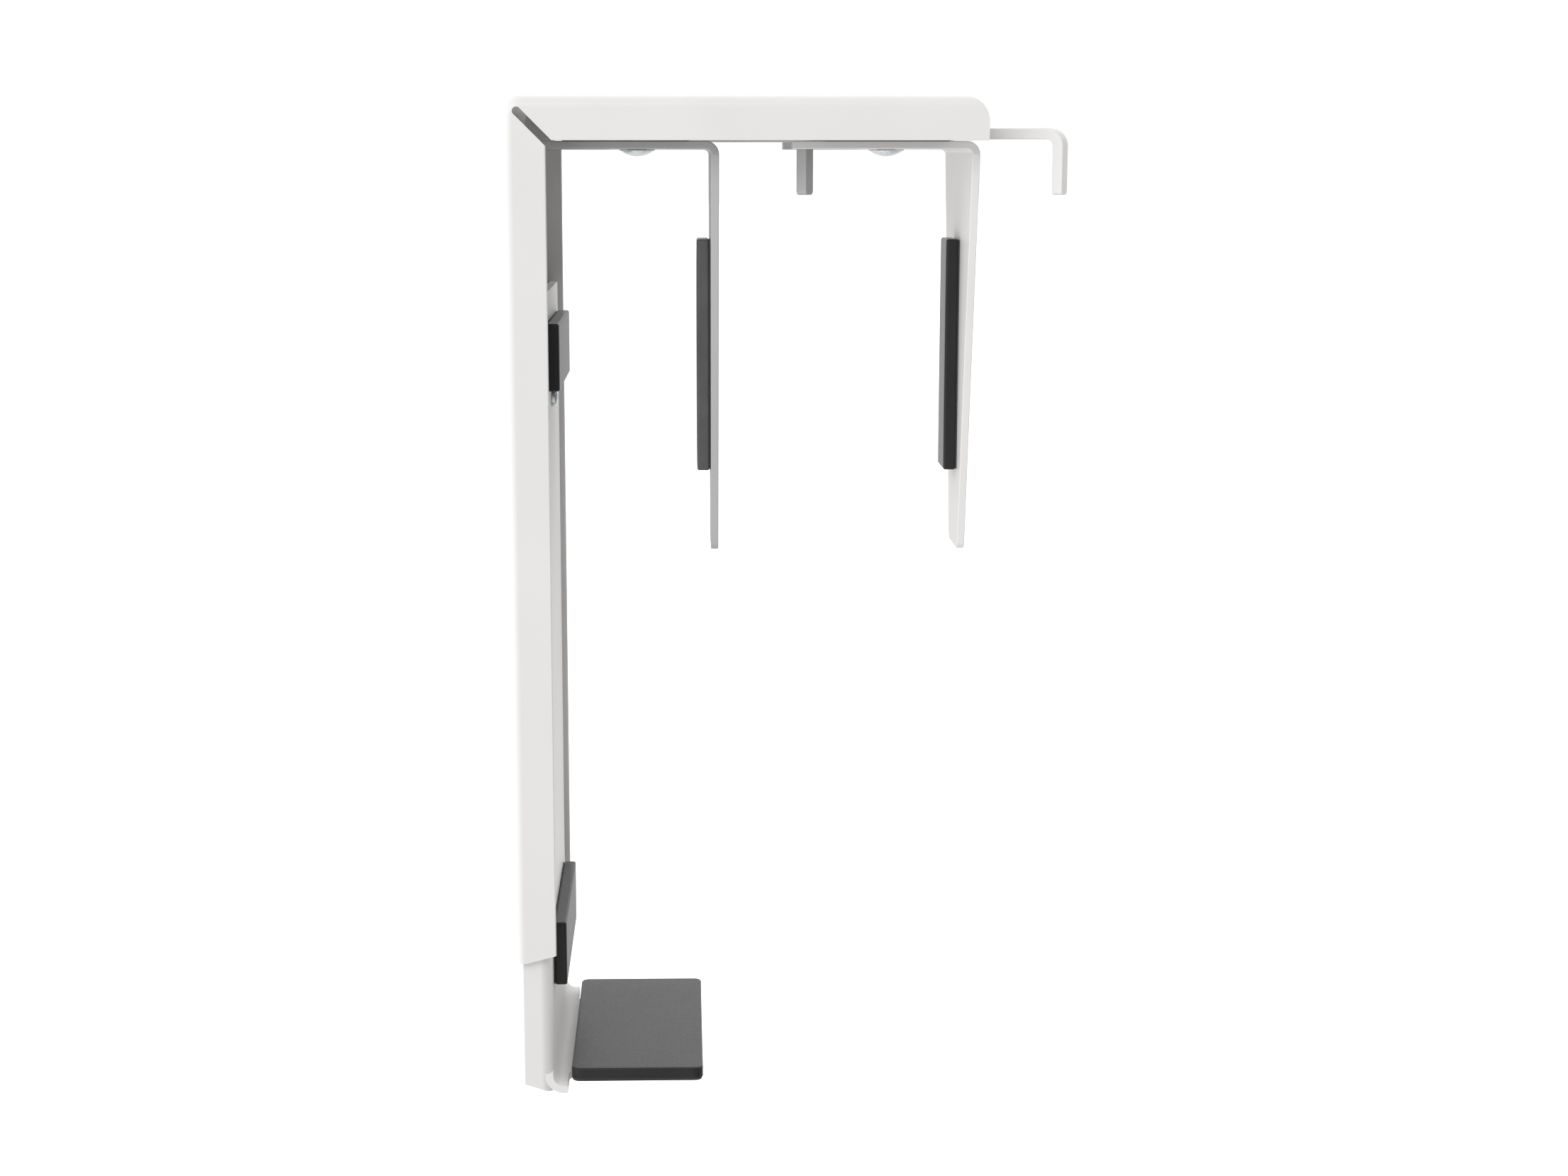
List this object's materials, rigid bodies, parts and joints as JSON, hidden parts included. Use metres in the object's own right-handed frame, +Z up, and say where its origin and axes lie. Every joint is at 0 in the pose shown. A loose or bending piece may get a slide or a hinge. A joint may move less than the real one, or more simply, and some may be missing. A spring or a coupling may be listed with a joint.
{
  "type": "under-desk computer holder",
  "caption": "Bent channel frame that hangs under a desk, with a telescoping padded column and foot, and sliding clamp brackets locked by bent levers.",
  "frame": {"origin": "centre of the four desk screw holes, on the top face of the beam that meets the desk", "axes": "+Z up, out of the face that meets the desk; +X along the beam, away from the column; +Y across the channel"},
  "size_m": [0.2545, 0.1466, 0.457],
  "materials": {
    "white_powder_coat": "warm white fine-texture powder coat, satin",
    "grey_powder_coat": "light grey fine-texture powder coat, satin",
    "black_rubber": "matte near-black cellular rubber",
    "grey_rubber": "matte mid-grey cellular rubber",
    "zinc_plate": "bright zinc plate",
    "black_nylon": "matte moulded nylon"
  },
  "bodies": {
    "frame": {"l_frame": "white_powder_coat", "clamp_rail": "zinc_plate", "rail_stop_inner": "black_nylon", "rail_stop_outer": "black_nylon", "rail_rivets": "zinc_plate", "mouth_glide_near": "black_nylon", "mouth_glide_far": "black_nylon"},
    "height_slider": {"telescoping_column": "white_powder_coat", "top_glide_near": "black_nylon", "top_glide_far": "black_nylon", "height_lock_screw": "zinc_plate", "height_lock_nut": "zinc_plate", "brake_shoe": "black_nylon", "upper_column_pad": "black_rubber", "lower_column_pad": "black_rubber", "foot_pad": "black_rubber"},
    "clamp_1": {"clamp_1_bracket": "grey_powder_coat", "clamp_1_pad": "grey_rubber", "clamp_1_glide_shoe_near": "black_nylon", "clamp_1_glide_shoe_far": "black_nylon", "clamp_1_shoe_screws": "zinc_plate", "clamp_1_tee_nut": "zinc_plate", "clamp_1_spacer": "zinc_plate", "clamp_1_washer": "zinc_plate"},
    "lever_1": {"lever_1_bar": "grey_powder_coat", "lever_1_bolt": "zinc_plate"},
    "clamp_2": {"clamp_2_bracket": "white_powder_coat", "clamp_2_pad": "black_rubber", "clamp_2_glide_shoe_near": "black_nylon", "clamp_2_glide_shoe_far": "black_nylon", "clamp_2_shoe_screws": "zinc_plate", "clamp_2_tee_nut": "zinc_plate", "clamp_2_spacer": "zinc_plate", "clamp_2_washer": "zinc_plate"},
    "lever_2": {"lever_2_bar": "white_powder_coat", "lever_2_bolt": "zinc_plate"}
  },
  "joints": [
    {"name": "height_slide", "type": "slide", "parent": "frame", "child": "height_slider", "axis": [0, 0, 1], "range_m": [-0.13, 0.055]},
    {"name": "clamp_1_slide", "type": "slide", "parent": "frame", "child": "clamp_1", "axis": [1, 0, 0], "range_m": [-0.007, 0.008]},
    {"name": "clamp_2_slide", "type": "slide", "parent": "frame", "child": "clamp_2", "axis": [1, 0, 0], "range_m": [-0.009, 0.022]},
    {"name": "lever_1_turn", "type": "hinge", "parent": "clamp_1", "child": "lever_1", "pos_m": [-0.0517, 0, -0.0208], "axis": [0, 0, 1], "range_deg": [0, 46]},
    {"name": "lever_2_turn", "type": "hinge", "parent": "clamp_2", "child": "lever_2", "pos_m": [0.0642, 0, -0.0208], "axis": [0, 0, 1], "range_deg": [0, 46]}
  ]
}
